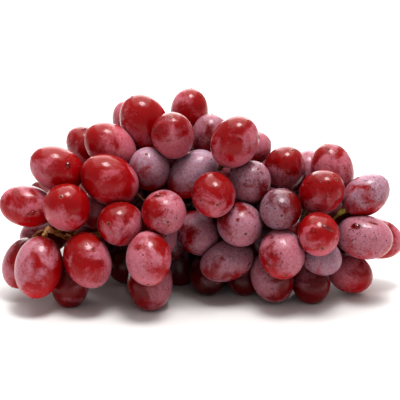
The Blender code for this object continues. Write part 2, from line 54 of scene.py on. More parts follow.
# The berries that show, read from the photograph. First the pixel of the middle, the depth,
# width and length in mm, the free end's angle in the picture and its lean to the viewer in degrees.
# Then the look: how dark, partly the berry's own colour and partly painted shade where it lies in the
# bunch's shadow, how grey the bloom is, how much of it, the side it is on and the specks.
seenBerries = (
    (144, 120, 16, 21.5, 27.0, 115, 20, 0.00, 0.1, 0.10, 220, 0.0),
    (189.5, 109, 27, 17.8, 22.0, 85, 20, 0.00, 0.2, 0.32, 190, 0.1),
    (172.5, 134, -5, 19.3, 23.5, 95, 45, 0.15, 0.2, 0.45, -90, 0.1),
    (211, 136, 14, 17.5, 21.0, 85, 20, 0.45, 0.5, 0.65, 80, 0.2),
    (235, 142, -8, 21.3, 25.5, 60, 30, 0.10, 0.2, 0.32, -70, 0.2),
    (249, 148, 16, 17.0, 21.0, 20, 0, 0.30, 0.3, 0.50, 20, 0.2),
    (110, 145, 6, 20.0, 26.0, 145, 15, 0.00, 0.1, 0.45, -15, 0.1),
    (131, 121, 36, 17.5, 22.0, 120, 0, 0.20, 0.2, 0.75, 150, 0.0),
    (87.5, 147, 22, 17.0, 22.0, 140, 0, 0.10, 0.1, 0.25, 180, 0.0),
    (57, 168, -2, 20.0, 25.5, 155, 10, 0.00, 0.1, 0.32, 215, 0.0),
    (110, 180, -8, 22.0, 28.0, 150, 20, 0.00, 0.1, 0.22, -50, 0.0),
    (150, 169.5, 2, 18.6, 23.0, 100, 55, 0.15, 0.9, 0.85, 80, 0.1),
    (192, 175, 8, 19.3, 26.0, 42, 10, 0.05, 0.9, 0.90, 60, 0.1),
    (212, 194, -22, 19.8, 23.0, -70, 65, 0.05, 0.2, 0.35, -80, 0.2),
    (249, 184, -1, 19.3, 23.0, 60, 50, 0.42, 0.7, 0.80, 120, 1.2),
    (284.5, 169, 12, 19.3, 23.0, 70, 40, 0.15, 0.3, 0.50, -80, 1.3),
    (308, 173, 30, 17.0, 21.0, 90, 0, 0.30, 0.5, 0.60, 90, 0.2),
    (334, 169, 10, 19.5, 25.5, 105, 15, 0.15, 0.2, 0.70, -60, 0.6),
    (322, 191, -9, 19.5, 23.5, 45, 45, 0.10, 0.3, 0.22, -95, 1.0),
    (368, 195, 0, 18.0, 23.5, 35, 5, 0.15, 0.8, 0.65, 70, 0.5),
    (366, 238, -3, 20.3, 26.0, -12, 15, 0.15, 0.5, 0.85, 120, 0.9),
    (375, 236, 20, 18.5, 25.0, -15, 0, 0.10, 0.2, 0.35, 0, 0.1),
    (321, 236, -22, 18.5, 22.0, -80, 55, 0.00, 0.1, 0.35, -80, 0.1),
    (280.5, 209, -14, 19.0, 22.0, -90, 75, 0.60, 0.8, 0.58, 200, 1.0),
    (282.5, 256, -15, 20.3, 24.0, -80, 40, 0.15, 0.4, 0.72, 30, 0.5),
    (238.5, 225, -14, 20.3, 23.0, -60, 65, 0.25, 0.6, 0.80, -30, 0.6),
    (197, 233, 7, 18.5, 22.0, -60, 30, 0.45, 0.6, 0.80, -30, 0.2),
    (164.5, 212, -14, 19.8, 22.5, -65, 65, 0.10, 0.3, 0.56, 0, 0.4),
    (120.5, 223, -15, 20.3, 24.0, 180, 65, 0.05, 0.2, 0.45, -40, 0.1),
    (64, 206.5, -14, 21.2, 24.0, 110, 65, 0.00, 0.1, 0.30, -100, 0.0),
    (27, 207, 0, 19.0, 25.5, 170, 5, 0.05, 0.1, 0.42, 60, 0.1),
    (42, 236, 24, 17.0, 22.0, 180, 0, 0.50, 0.4, 0.40, 180, 0.0),
    (23, 263, 10, 18.5, 24.5, -115, 0, 0.15, 0.2, 0.30, 180, 0.0),
    (38, 268, -10, 21.6, 29.0, -100, 10, 0.00, 0.4, 0.48, 165, 0.1),
    (87.5, 262.5, -12, 20.7, 27.0, -65, 20, 0.05, 0.3, 0.40, -40, 0.2),
    (69.5, 282.5, 4, 17.8, 24.5, -90, 0, 0.55, 0.4, 0.40, 0, 0.1),
    (148.5, 259, -18, 20.3, 25.0, -90, 25, 0.00, 0.3, 0.66, 210, 0.2),
    (150, 283, 0, 20.7, 25.5, -90, 0, 0.45, 0.3, 0.45, 0, 0.5),
    (178, 264, 28, 17.0, 23.0, -80, 0, 0.72, 0.8, 0.30, 90, 0.0),
    (126, 262, 32, 17.5, 21.0, -90, 0, 0.72, 0.5, 0.20, 90, 0.0),
    (98, 212, 8, 17.5, 21.0, 180, 10, 0.20, 0.1, 0.70, 0, 0.0),
    (226, 259, -2, 18.8, 26.0, -160, 15, 0.45, 0.6, 0.80, 70, 0.3),
    (209, 276, 15, 17.1, 20.0, -90, 20, 0.80, 0.3, 0.12, 90, 0.1),
    (245, 275, 16, 16.5, 20.0, -90, 20, 0.75, 0.4, 0.30, 90, 0.2),
    (272, 274, 4, 19.5, 24.5, -70, 0, 0.45, 0.5, 0.62, 180, 0.3),
    (310, 283, 8, 18.0, 21.0, -80, 20, 0.60, 0.4, 0.35, 90, 0.4),
    (321, 257, -6, 16.5, 20.0, -30, 10, 0.35, 1.0, 0.90, 0, 0.2),
    (350, 273, 14, 18.0, 22.0, -25, 10, 0.00, 0.1, 0.40, 180, 0.2),
    (170, 238, 23, 17.0, 21.0, -90, 0, 0.75, 1.0, 0.60, 90, 0.0),
    (345, 213, 18, 17.0, 21.0, 0, 0, 0.60, 0.4, 0.40, 90, 0.0),
    (262, 240, 8, 17.5, 21.0, -60, 0, 0.55, 0.5, 0.60, 90, 0.1),
    (92, 238, 24, 17.0, 21.0, -90, 0, 0.60, 0.3, 0.30, 90, 0.0),
    (301, 205, 32, 17.5, 21.5, 0, 0, 0.75, 0.4, 0.30, 90, 0.0),
    (342, 246, 26, 17.0, 21.0, 0, 0, 0.70, 0.4, 0.30, 90, 0.0),
    (108, 247, 42, 17.0, 21.0, -90, 0, 0.85, 0.4, 0.20, 90, 0.0),
)

# The berries that the photograph hides: a close stack behind the seen ones.
hiddenStack = {
    "width": (17.5 * mm, 19.5 * mm),
    "length": (21 * mm, 24 * mm),
    "step": 18.6 * mm,
    "corner": (-88 * mm, -8 * mm, 9 * mm),
    "count": (10, 7, 7),
    "rowSqueeze": 0.87,
    "layerSqueeze": 0.82,
    "jitter": 1.2 * mm,
    "turnJitter": 0.35,
    "core": (-4 * mm, 30 * mm, 36 * mm),
    "reach": (82 * mm, 42 * mm, 37 * mm),
    "fromSeen": 15 * mm,
    "fromStem": 8.5 * mm,
    "seed": 7,
    "fillTries": 5000,
    "fillSpacing": 18 * mm,
    "fillWidth": (16.5 * mm, 18.5 * mm),
    "fillLength": (20 * mm, 23 * mm),
    "openGaps": ((60, 247), (352, 217)),    # pixels where the photograph looks straight through
    "openMargin": 2,
    "enclosedWithin": (4, 8, 12, 16, 20),   # pixels
    "showingDepth": 24 * mm,
}

# How the berries settle against each other: the same rule that the CAD's solid was made by.
settling = {
    "press": 1.4 * mm,
    "holdingPress": 1.0 * mm,
    "closingReach": 3.5 * mm,
    "rounds": 3,
    "steps": 180,
    "sink": 0.5 * mm,
    "restingReach": 2 * mm,
    "pushGain": 0.32,
    "closeGain": 0.08,
    "bondGain": 0.35,
    "stemGain": 0.6,
    "tableGain": 0.3,
    "sideways": 0.45,
    "homing": 0.16,
    "bondEvery": 40,
    "lastBond": 150,
    "depthFree": 0.9,             # how much less a seen berry is drawn home along the view
    "farthest": 1.5 * mm,
    "clearance": 0.5 * mm,
    "stemRoom": 0.5 * mm,
    "bends": 60,
    "bendRoom": 0.1 * mm,
    "bendGain": 0.6,
    "bendSmoothing": 0.06,
}

# The stem's main lines, as pixels and depths in mm, with their radii.
stemLines = {
    "rachis": (
        (254, 176, 80), (238, 192, 52), (206, 206, 32), (162, 217, 18), (112, 228, 10), (68, 239, 0),
    ),
    "right": ((238, 192, 52), (262, 198, 32), (296, 212, 20), (330, 222, 6)),
    "crown": ((206, 206, 32), (202, 184, 34), (190, 156, 32)),
    "bare": ((68, 239, 0), (57, 234, -3), (46, 228, -5)),
    "spacing": 4.5 * mm,
    "bareSpacing": 4 * mm,
    "peduncle": 2.9 * mm,
    "middle": 1.8 * mm,
    "tip": 1.3 * mm,
    "shoulder": 1.6 * mm,
    "bareEnd": 1.7 * mm,
}


def viewAxes():
    # the picture's right, its up, and the way the view looks
    lift = photoView["elevation"]
    right = np.array((1.0, 0.0, 0.0))
    up = np.array((0.0, math.sin(lift), math.cos(lift)))
    away = np.array((0.0, math.cos(lift), -math.sin(lift)))
    return right, up, away


def seenPoint(column, row, depth):
    # the point behind a pixel, depth past the plane through the bunch's middle
    right, up, away = viewAxes()
    spread = photoView["pixel"] * (photoView["distance"] + depth) / photoView["distance"]
    across = (column - photoView["middle"]) * spread
    rise = (photoView["middle"] - row) * spread
    return np.array(photoView["target"]) + away * depth + right * across + up * rise


def cadPoint(column, row, depth):
    # the same in the CAD's frame, from a depth in mm
    return seenPoint(column, row, depth * mm) + np.array(photoView["centring"])


def seenPixel(point):
    # the pixel that a point shows at
    right, up, away = viewAxes()
    offset = point - np.array(photoView["target"])
    spread = photoView["pixel"] * (photoView["distance"] + offset @ away) / photoView["distance"]
    return photoView["middle"] + offset @ right / spread, photoView["middle"] - offset @ up / spread


def linePoints(route, spacing):
    # a smooth line through a route's pixels
    knots = [seenPoint(column, row, depth * mm) for column, row, depth in route]
    knots = [2 * knots[0] - knots[1]] + knots + [2 * knots[-1] - knots[-2]]
    points = []
    for before, start, end, after in zip(knots, knots[1:], knots[2:], knots[3:]):
        count = max(2, round(np.linalg.norm(end - start) / spacing))
        for step in range(count):
            t = step / count
            points.append(
                0.5 * (2 * start + (end - before) * t
                       + (2 * before - 5 * start + 4 * end - after) * t ** 2
                       + (3 * start - before - 3 * end + after) * t ** 3)
            )
    points.append(knots[-2])
    return np.array(points)


def turnedTo(direction):
    return np.array(Vector(direction).to_track_quat("Z", "Y").to_matrix())


class Bunch:
    # every berry's middle, half widths and rotation, with its length along its own +Z
    def __init__(self):
        self.middle = []
        self.half = []
        self.turn = []
        self.seen = []

    def add(self, middle, width, length, direction, seen):
        self.middle.append(middle)
        self.half.append(np.array((width / 2, width / 2, length / 2)))
        self.turn.append(turnedTo(direction))
        self.seen.append(seen)

    def close(self):
        self.middle = np.array(self.middle)
        self.anchor = self.middle.copy()
        self.half = np.array(self.half)
        self.turn = np.array(self.turn)
        self.seen = np.array(self.seen)
        self.form = np.einsum("nij,nj,nkj->nik", self.turn, self.half ** 2, self.turn)
        self.inverse = np.linalg.inv(self.form)

    def clearance(self, points):
        # how far points lie outside each berry, and the way out of it
        offset = points[:, None] - self.middle[None]
        slope = np.einsum("nij,mnj->mni", self.inverse, offset)
        level = np.sqrt(np.einsum("mni,mni->mn", slope, offset))
        steepness = np.linalg.norm(slope, axis=2) / level
        return (level - 1) / steepness, slope / (steepness * level)[:, :, None]


def placeSeen(bunch):
    right, up, away = viewAxes()
    for column, row, depth, width, length, angle, lean, *_ in seenBerries:
        angle = math.radians(angle)
        lean = math.radians(lean)
        flat = right * math.cos(angle) + up * math.sin(angle)
        direction = flat * math.cos(lean) - away * math.sin(lean)
        bunch.add(seenPoint(column, row, depth * mm), width * mm, length * mm, direction, True)


def ringPixels(column, row, reach, count):
    turns = [math.tau * step / count for step in range(count)]
    return [(column + reach * math.cos(turn), row + reach * math.sin(turn)) for turn in turns]


def onSeenBerry(pixel):
    for berry in seenBerries:
        if math.dist(pixel, berry[:2]) < (berry[3] + berry[4]) / 4 * mm / photoView["pixel"]:
            return True
    return False


def isEnclosed(pixel):
    # whether seen berries cover a pixel or stand close by on every side of it
    if onSeenBerry(pixel):
        return True
    spokes = zip(*(ringPixels(*pixel, reach, 8) for reach in hiddenStack["enclosedWithin"]))
    return all(any(onSeenBerry(place) for place in spoke) for spoke in spokes)


def isCovered(point, radius):
    # whether seen berries hide a ball, or it lies back in the dark of a gap that isn't open
    column, row = seenPixel(point)
    reach = radius / photoView["pixel"]
    for gap in hiddenStack["openGaps"]:
        if math.dist(gap, (column, row)) < reach + hiddenStack["openMargin"]:
            return False
    depth = (point - np.array(photoView["target"])) @ viewAxes()[2]
    test = isEnclosed if depth > hiddenStack["showingDepth"] else onSeenBerry
    return all(test(pixel) for pixel in ringPixels(column, row, reach, 16))


def placeHidden(bunch, lines):
    rule = hiddenStack
    draw = random.Random(rule["seed"])
    jitter = rule["jitter"]
    wander = rule["turnJitter"]
    seenMiddles = np.array(bunch.middle)
    columns, rows, layers = rule["count"]
    for layer in range(layers):
        for row in range(rows):
            for column in range(columns):
                across = column + 0.5 * ((layer + row) % 2)
                back = (row + 0.4 * (layer % 2)) * rule["rowSqueeze"]
                place = np.array(rule["corner"])
                place += rule["step"] * np.array((across, back, layer * rule["layerSqueeze"]))
                place += np.array([draw.uniform(-jitter, jitter) for _ in range(3)])
                width = draw.uniform(*rule["width"])
                length = draw.uniform(*rule["length"])
                turned = np.array([draw.uniform(-wander, wander) for _ in range(3)])
                if np.linalg.norm(seenMiddles - place, axis=1).min() < rule["fromSeen"]:
                    continue
                addHidden(bunch, lines, place, width, length, turned)


def addHidden(bunch, lines, place, width, length, turned):
    rule = hiddenStack
    inside = (place - np.array(rule["core"])) / np.array(rule["reach"])
    if inside @ inside > 1 or not isCovered(place, width / 2):
        return
    nearest = lines[np.linalg.norm(lines - place, axis=1).argmin()]
    outward = place - nearest
    distance = np.linalg.norm(outward)
    if distance >= rule["fromStem"]:
        bunch.add(place, width, length, outward / distance + turned, False)


def fillRest(bunch, lines):
    # tries berries at drawn places, and adds each one that has room among the others
    rule = hiddenStack
    draw = random.Random(rule["seed"])
    wander = rule["turnJitter"]
    core = np.array(rule["core"])
    for _ in range(rule["fillTries"]):
        place = core + np.array([draw.uniform(-1, 1) * reach for reach in rule["reach"]])
        width = draw.uniform(*rule["fillWidth"])
        length = draw.uniform(*rule["fillLength"])
        turned = np.array([draw.uniform(-wander, wander) for _ in range(3)])
        place[2] = max(place[2], width / 2)
        if np.linalg.norm(np.array(bunch.middle) - place, axis=1).min() >= rule["fillSpacing"]:
            addHidden(bunch, lines, place, width, length, turned)


def bondGroups(depth, bonds):
    # bonds each group of touching berries to the nearest berry outside it
    touching = depth > settling["holdingPress"]
    group = np.arange(len(depth))
    for _ in range(len(depth)):
        lowest = np.where(touching, group[None], group[:, None]).min(1)
        group = np.minimum(group, lowest)
    for number in set(group.tolist()):
        across = (group == number)[:, None] & (group != number)[None]
        if not across.any():
            continue
        inner, outer = np.unravel_index(np.where(across, depth, -1).argmax(), depth.shape)
        bonds[inner, outer] = True
        bonds[outer, inner] = True


def settle(bunch, lines, radii):
    rule = settling
    away = viewAxes()[2]
    count = len(bunch.middle)
    bonds = np.zeros((count, count), bool)
    pairForm = np.linalg.inv(bunch.form[:, None] + bunch.form[None])
    stand = np.sqrt(bunch.form[:, 2, 2])
    for step in range(rule["steps"]):
        offset = bunch.middle[:, None] - bunch.middle[None]
        slope = np.einsum("nmij,nmj->nmi", pairForm, offset)
        level = 0.5 * np.einsum("nmi,nmi->nm", slope, offset)
        level[np.arange(count), np.arange(count)] = 100
        depth = np.linalg.norm(offset, axis=2) * (1 / np.sqrt(level) - 1)
        way = slope / (np.linalg.norm(slope, axis=2) + 1e-9)[:, :, None]
        excess = depth - rule["press"]
        push = np.where(excess > 0, rule["pushGain"] * excess, 0)
        near = (excess <= 0) & (depth > -rule["closingReach"])
        push = np.where(near, rule["closeGain"] * excess, push)
        if step % rule["bondEvery"] == rule["bondEvery"] - 1 and step < rule["lastBond"]:
            bondGroups(depth, bonds)
        push = np.where(bonds & (excess < 0), rule["bondGain"] * excess, push)
        move = (push[:, :, None] * way).sum(1)
        reach, out = bunch.clearance(lines)
        short = np.clip(radii[:, None] + rule["clearance"] + rule["stemRoom"] - reach, 0, None)
        fromStem = (short[:, :, None] * out).max(0) + (short[:, :, None] * out).min(0)
        move -= rule["stemGain"] * fromStem
        sunk = stand - rule["sink"] - bunch.middle[:, 2]
        move[:, 2] += np.where(sunk > -rule["restingReach"], rule["tableGain"] * sunk, 0)
        along = (move @ away)[:, None] * away
        held = along + rule["sideways"] * (move - along)
        stray = bunch.anchor - bunch.middle
        held += rule["homing"] * (stray - rule["depthFree"] * (stray @ away)[:, None] * away)
        move = np.where(bunch.seen[:, None], held, move)
        bunch.middle = bunch.middle + np.clip(move, -rule["farthest"], rule["farthest"])


def pushClear(points, bunch, radii):
    # bends a stem line clear of the berries with its ends held
    rule = settling
    points = points.copy()
    for _ in range(rule["bends"]):
        reach, out = bunch.clearance(points)
        short = np.clip(radii[:, None] + rule["clearance"] + rule["bendRoom"] - reach, 0, None)
        shift = rule["bendGain"] * ((short[:, :, None] * out).max(1) + (short[:, :, None] * out).min(1))
        smooth = np.zeros_like(points)
        smooth[1:-1] = rule["bendSmoothing"] * (points[:-2] + points[2:] - 2 * points[1:-1])
        shift[0] = 0
        shift[-1] = 0
        points += shift + smooth
    return points


def layOutBunch():
    lines = stemLines
    rachis = linePoints(lines["rachis"], lines["spacing"])
    right = linePoints(lines["right"], lines["spacing"])
    crown = linePoints(lines["crown"], lines["spacing"])
    bare = linePoints(lines["bare"], lines["bareSpacing"])
    thickness = (lines["peduncle"], lines["middle"], lines["tip"])
    main = [
        (rachis, np.interp(np.linspace(0, 1, len(rachis)), (0, 0.3, 1), thickness)),
        (right, np.linspace(lines["shoulder"], lines["tip"], len(right))),
        (crown, np.linspace(lines["shoulder"], lines["tip"], len(crown))),
        (bare, np.linspace(lines["tip"], lines["bareEnd"], len(bare))),
    ]
    bunch = Bunch()
    placeSeen(bunch)
    placeHidden(bunch, np.concatenate([points for points, _ in main]))
    fillRest(bunch, np.concatenate([points for points, _ in main]))
    bunch.close()
    for _ in range(settling["rounds"]):
        together = np.concatenate([points for points, _ in main])
        settle(bunch, together, np.concatenate([radii for _, radii in main]))
        main = [(pushClear(points, bunch, radii), radii) for points, radii in main]
    bunch.middle = bunch.middle + np.array(photoView["centring"])
    return bunch


def linear(hexValue):
    # sRGB hex to linear colour
    channels = [int(hexValue[start:start + 2], 16) / 255 for start in (1, 3, 5)]
    return tuple(c / 12.92 if c <= 0.04045 else ((c + 0.055) / 1.055) ** 2.4 for c in channels) + (1,)


def addNode(tree, kind, settings=None, links=None):
    # one shader node with its settings, and its inputs linked from other nodes' outputs
    node = tree.nodes.new(kind)
    for name, value in (settings or {}).items():
        if isinstance(name, str) and hasattr(node, name):
            setattr(node, name, value)
        else:
            node.inputs[name].default_value = value
    for name, output in (links or {}).items():
        tree.links.new(output, node.inputs[name])
    return node


def newMaterial(name):
    material = bpy.data.materials.new(name)
    material.use_nodes = True
    tree = material.node_tree
    return material, tree, tree.nodes["Principled BSDF"]


def setSockets(shader, values):
    for name, value in values.items():
        shader.inputs[name].default_value = value


def deselectAll():
    if bpy.context.object and bpy.context.object.mode != "OBJECT":
        bpy.ops.object.mode_set(mode="OBJECT")
    bpy.ops.object.select_all(action="DESELECT")


def pick(thing):
    deselectAll()
    thing.select_set(True)
    bpy.context.view_layer.objects.active = thing


def pickFaces(thing, wanted):
    # into edit mode with only the wanted faces selected, by their centre
    pick(thing)
    bpy.context.tool_settings.mesh_select_mode = (False, False, True)
    bpy.ops.object.mode_set(mode="EDIT")
    bpy.ops.mesh.select_all(action="DESELECT")
    bpy.ops.object.mode_set(mode="OBJECT")
    for face in thing.data.polygons:
        face.select = wanted(face.center)
    bpy.ops.object.mode_set(mode="EDIT")


def copyOf(thing):
    twin = thing.copy()
    twin.data = thing.data.copy()
    bpy.context.scene.collection.objects.link(twin)
    return twin


def vertexPlaces(thing):
    return np.array([vertex.co for vertex in thing.data.vertices])


def moveVertices(thing, points):
    thing.data.vertices.foreach_set("co", points.ravel())
    thing.data.update()


def storeValues(thing, values):
    # a number at each vertex under each name, for the materials to read
    for name, value in values.items():
        layer = thing.data.attributes.new(name, "FLOAT", "POINT")
        layer.data.foreach_set("value", value.astype(np.float32))


# Grape skin: thin, taut and waxy. Where the wax is rubbed off it is glossy, and light sinks into its
# red. Its browner top is painted shade, and its clearer red underneath is a painted glow of light coming
# through. The bloom, a thin matt dust of wax, lies over it as a
# mauve veil in soft-edged patches, through which the red still shows. Dark specks crowd on one part of
# some berries, and a mist of fine droplets elsewhere.
skinLook = {
    "red": "#8E020A",
    # painted glow: the clearer red that the underside of each berry is mixed toward, standing in for
    # light coming through
    "paintedGlowRed": "#C80012",
    # painted shade: the brown that the top of each berry is darkened toward
    "paintedShadeBrown": "#742018",
    # painted shade, and the own darker tone of some berries
    "darkRed": "#2A0205",
    "pinkBloom": "#C47280",
    "greyBloom": "#ACA2B4",
    "speck": "#2A0508",
    "scar": "#3E1A12",
    "scarRing": "#B98A78",
    "sheen": "#F6D2D8",
    "noises": {                      # size, detail, roughness and distortion
        "patch": (10 * mm, 3.0, 0.5, 0.6),
        "mottle": (1.1 * mm, 4.0, 0.65, 0.0),
        "sunk": (14 * mm, 2.0, 0.5, 0.0),
        "grain": (0.45 * mm, 2.0, 0.5, 0.0),
    },
    "sinking": (-0.06, 0.16),        # how far the slow noise darkens the skin
    # painted glow underneath, by the upward share
    "paintedGlowBelow": (0.35, -0.75, 0.7),   # from which upward share to which, and at most how much
    # painted shade on top, by the upward share
    "paintedShadeAbove": (0.3, 1.0, 0.45),
    "patchiness": 0.5,
    "raggedness": 0.07,
    "bloomEdge": (0.2, 0.84),        # the bloom is gone below the first level and whole above the second
    "veil": (0.46, 0.78),            # how much of the skin a whole bloom hides
    # a berry's tone is partly painted shade, and this carries it through the bloom
    "darkVeil": 0.6,                 # how much of a dark berry's tone shows through its bloom
    "crowding": (0.2, 2.0),          # of the specks, on their sparse and their dense side
    "speckSpacing": 1.2 * mm,
    "speckRadius": 0.46 * mm,
    "scarRadius": 0.55 * mm,
    "scarShare": 0.78,
    "ringRadius": 1.0 * mm,
    "ringShare": 0.22,
    "mistSpacing": 1.4 * mm,
    "mistRadius": 0.42 * mm,
    "mistHeight": 0.3 * mm,
    "mistShare": 0.4,
    "roughness": (0.24, 0.4),        # of clean skin and of whole bloom
}


def makeSkin():
    look = skinLook
    material, tree, shader = newMaterial("grapeSkin")
    place = addNode(tree, "ShaderNodeTexCoord").outputs["Object"]
    own = {}
    for name in ("tone", "tint", "specks", "bloom", "fromTip", "upward"):
        own[name] = addNode(tree, "ShaderNodeAttribute", {"attribute_name": name}).outputs["Fac"]
    waves = {}
    for name, (size, detail, roughness, distortion) in look["noises"].items():
        waves[name] = addNode(
            tree, "ShaderNodeTexNoise",
            {"Scale": 1 / size, "Detail": detail, "Roughness": roughness, "Distortion": distortion},
            {"Vector": place},
        ).outputs["Fac"]

    # the skin under the bloom, from clear red to nearly black: a painted glow underneath, painted shade
    # on top, darker by each berry's tone, which is partly painted shade, and darker at random
    sunkBy = addNode(
        tree, "ShaderNodeMapRange",
        {"From Min": 0.3, "From Max": 0.7, "To Min": look["sinking"][0], "To Max": look["sinking"][1]},
        {"Value": waves["sunk"]},
    ).outputs["Result"]
    darkToneAndShade = addNode(
        tree, "ShaderNodeMath", {"operation": "ADD", "use_clamp": True}, {0: own["tone"], 1: sunkBy}
    ).outputs[0]
    below, above = [
        addNode(
            tree, "ShaderNodeMapRange",
            {"From Min": start, "From Max": end, "To Max": most},
            {"Value": own["upward"]},
        ).outputs["Result"]
        for start, end, most in (look["paintedGlowBelow"], look["paintedShadeAbove"])
    ]
    # painted glow: the underside is mixed toward a clearer red, standing in for light coming through the
    # berry
    clean = addNode(
        tree, "ShaderNodeMix",
        {"data_type": "RGBA", 6: linear(look["red"]), 7: linear(look["paintedGlowRed"])},
        {0: below},
    ).outputs[2]
    # painted shade: browner on top, and darker by each berry's tone
    for tone, share in (("paintedShadeBrown", above), ("darkRed", darkToneAndShade)):
        clean = addNode(
            tree, "ShaderNodeMix", {"data_type": "RGBA", 7: linear(look[tone])}, {0: share, 6: clean}
        ).outputs[2]

    # the bloom lies where the patches and the berry's own amount add up past a soft threshold
    level = own["bloom"]
    for wave, swing in (("patch", look["patchiness"]), ("mottle", look["raggedness"])):
        swung = addNode(
            tree, "ShaderNodeMapRange",
            {"clamp": False, "From Min": 0.3, "From Max": 0.7, "To Min": -swing, "To Max": swing},
            {"Value": waves[wave]},
        ).outputs["Result"]
        level = addNode(tree, "ShaderNodeMath", None, {0: level, 1: swung}).outputs[0]
    cover = addNode(
        tree, "ShaderNodeMapRange",
        {"interpolation_type": "SMOOTHSTEP",
         "From Min": look["bloomEdge"][0], "From Max": look["bloomEdge"][1]},
        {"Value": level},
    ).outputs["Result"]
    thickness = addNode(
        tree, "ShaderNodeMapRange",
        {"From Min": 0.36, "From Max": 0.64, "To Min": look["veil"][0], "To Max": look["veil"][1]},
        {"Value": waves["mottle"]},
    ).outputs["Result"]
    dust = addNode(
        tree, "ShaderNodeMath", {"operation": "MULTIPLY"}, {0: cover, 1: thickness}
    ).outputs[0]
    wax = addNode(
        tree, "ShaderNodeMix",
        {"data_type": "RGBA", 6: linear(look["pinkBloom"]), 7: linear(look["greyBloom"])},
        {0: own["tint"]},
    ).outputs[2]
    # a dark berry's bloom lets its tone through, painted shade included
    shaded = addNode(
        tree, "ShaderNodeMath", {"operation": "MULTIPLY", 1: look["darkVeil"]}, {0: own["tone"]}
    ).outputs[0]
    wax = addNode(tree, "ShaderNodeMix", {"data_type": "RGBA"}, {0: shaded, 6: wax, 7: clean}).outputs[2]
    colour = addNode(tree, "ShaderNodeMix", {"data_type": "RGBA"}, {0: dust, 6: clean, 7: wax}).outputs[2]

    # specks, in a random share of the cells, from half to one and a half times the usual size
    cells = addNode(
        tree, "ShaderNodeTexVoronoi", {"Scale": 1 / look["speckSpacing"]}, {"Vector": place}
    )
    lot = addNode(tree, "ShaderNodeSeparateColor", None, {"Color": cells.outputs["Color"]})
    crowd = addNode(
        tree, "ShaderNodeMapRange",
        {"From Min": 0.4, "From Max": 0.65, "To Min": look["crowding"][0], "To Max": look["crowding"][1]},
        {"Value": waves["sunk"]},
    ).outputs["Result"]
    share = addNode(
        tree, "ShaderNodeMath", {"operation": "MULTIPLY"}, {0: own["specks"], 1: crowd}
    ).outputs[0]
    chosen = addNode(
        tree, "ShaderNodeMath", {"operation": "LESS_THAN"}, {0: lot.outputs["Red"], 1: share}
    ).outputs[0]
    usual = look["speckRadius"] / look["speckSpacing"]
    size = addNode(
        tree, "ShaderNodeMapRange",
        {"To Min": 0.5 * usual, "To Max": 1.5 * usual},
        {"Value": lot.outputs["Green"]},
    ).outputs["Result"]
    spot = addNode(
        tree, "ShaderNodeMapRange",
        {"interpolation_type": "SMOOTHSTEP", "From Max": 0.0, "To Max": 1.2},
        {"Value": cells.outputs["Distance"], "From Min": size},
    ).outputs["Result"]
    spot = addNode(tree, "ShaderNodeMath", {"operation": "MULTIPLY"}, {0: spot, 1: chosen}).outputs[0]
    colour = addNode(
        tree, "ShaderNodeMix", {"data_type": "RGBA", 7: linear(look["speck"])}, {0: spot, 6: colour}
    ).outputs[2]

    # the flower scar: a faint pale ring, and a dark dot in it
    for tone, radius, fade, most in (
        ("scarRing", look["ringRadius"], 1.3, look["ringShare"]),
        ("scar", look["scarRadius"], 1.5, look["scarShare"]),
    ):
        mark = addNode(
            tree, "ShaderNodeMapRange",
            {"interpolation_type": "SMOOTHSTEP",
             "From Min": fade * radius, "From Max": radius, "To Max": most},
            {"Value": own["fromTip"]},
        ).outputs["Result"]
        colour = addNode(
            tree, "ShaderNodeMix", {"data_type": "RGBA", 7: linear(look[tone])}, {0: mark, 6: colour}
        ).outputs[2]

    rough = addNode(
        tree, "ShaderNodeMapRange",
        {"To Min": look["roughness"][0], "To Max": look["roughness"][1]},
        {"Value": dust},
    ).outputs["Result"]
    bump = addNode(
        tree, "ShaderNodeBump", {"Strength": 0.1, "Distance": 0.1 * mm}, {"Height": waves["grain"]}
    ).outputs["Normal"]

    # the mist: each droplet a low dome that glints, crowded where the specks are few
    beads = addNode(
        tree, "ShaderNodeTexVoronoi", {"Scale": 1 / look["mistSpacing"]}, {"Vector": place}
    )
    lot = addNode(tree, "ShaderNodeSeparateColor", None, {"Color": beads.outputs["Color"]})
    share = addNode(
        tree, "ShaderNodeMapRange",
        {"From Min": 0.6, "From Max": 0.4, "To Max": look["mistShare"]},
        {"Value": waves["sunk"]},
    ).outputs["Result"]
    chosen = addNode(
        tree, "ShaderNodeMath", {"operation": "LESS_THAN"}, {0: lot.outputs["Red"], 1: share}
    ).outputs[0]
    dome = addNode(
        tree, "ShaderNodeMapRange",
        {"interpolation_type": "SMOOTHSTEP", "From Min": look["mistRadius"] / look["mistSpacing"],
         "From Max": 0.0},
        {"Value": beads.outputs["Distance"]},
    ).outputs["Result"]
    domes = addNode(tree, "ShaderNodeMath", {"operation": "MULTIPLY"}, {0: dome, 1: chosen}).outputs[0]
    bump = addNode(
        tree, "ShaderNodeBump",
        {"Strength": 0.8, "Distance": look["mistHeight"]},
        {"Height": domes, "Normal": bump},
    ).outputs["Normal"]
    tree.links.new(colour, shader.inputs["Base Color"])
    tree.links.new(rough, shader.inputs["Roughness"])
    tree.links.new(bump, shader.inputs["Normal"])
    tree.links.new(bump, shader.inputs["Coat Normal"])
    setSockets(shader, {
        "IOR": 1.36,
        "Specular IOR Level": 0.25,
        "Coat Weight": 0.45,
        "Coat Roughness": 0.11,
        "Coat IOR": 1.36,
        "Sheen Weight": 0.12,
        "Sheen Roughness": 0.16,
        "Sheen Tint": linear(look["sheen"]),
        "Subsurface Weight": 0.7,
        "Subsurface Radius": (1.0, 0.15, 0.12),
        "Subsurface Scale": 6 * mm,
    })
    return material


# Grape stem: woody shoot, matt and fibrous, mottled olive and brown where it is old and yellow-green
# at the young pedicel, with pale corky dots and a corky end, dark cracks, and painted shade deep in the
# bunch.
stemLook = {
    "green": "#C4B64C",
    "brown": "#B4662C",
    # painted shade for the stem deep in the bunch
    "inner": "#43210F",
    "crack": "#3A1808",
    "cork": "#FAC088",
    "patchSize": 5 * mm,
    "fibreSize": 0.6 * mm,
    "dotSpacing": 1.2 * mm,
}


